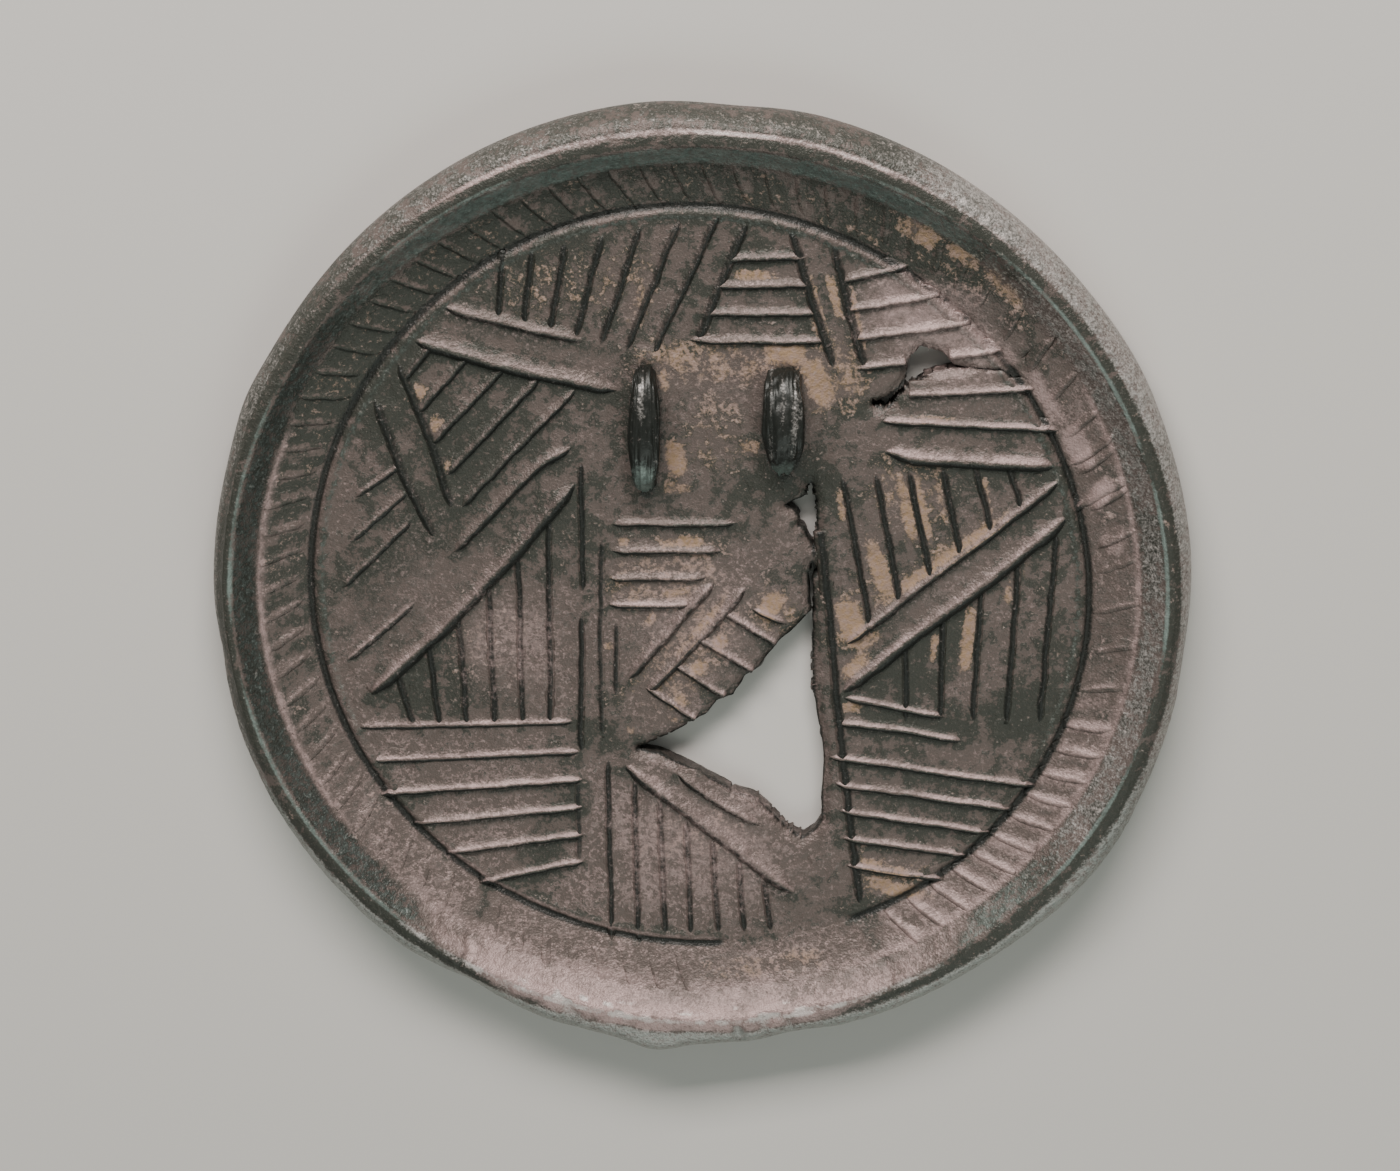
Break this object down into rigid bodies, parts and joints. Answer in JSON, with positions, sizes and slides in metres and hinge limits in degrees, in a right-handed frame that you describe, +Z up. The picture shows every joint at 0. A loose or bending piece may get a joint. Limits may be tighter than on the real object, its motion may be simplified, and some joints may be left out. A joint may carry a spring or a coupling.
{
  "type": "ancient bronze mirror",
  "caption": "Round ancient bronze mirror, decorated side up, with a raised rim, cord loops, hatched geometric relief and ragged breaks through the plate.",
  "frame": {"origin": "on the flat reflecting face that the mirror lies on, under the middle of the disc", "axes": "+Z up out of the decorated back, +Y towards the side of the disc where the cord loops are, +X to the right seen from above"},
  "size_m": [0.1135, 0.1157, 0.0077],
  "materials": {
    "patinated_bronze": "dark brown and green patina over cast bronze, with ochre soil in the hollows and pale worn edges"
  },
  "bodies": {
    "root": {"mirror": "patinated_bronze"}
  },
  "joints": []
}
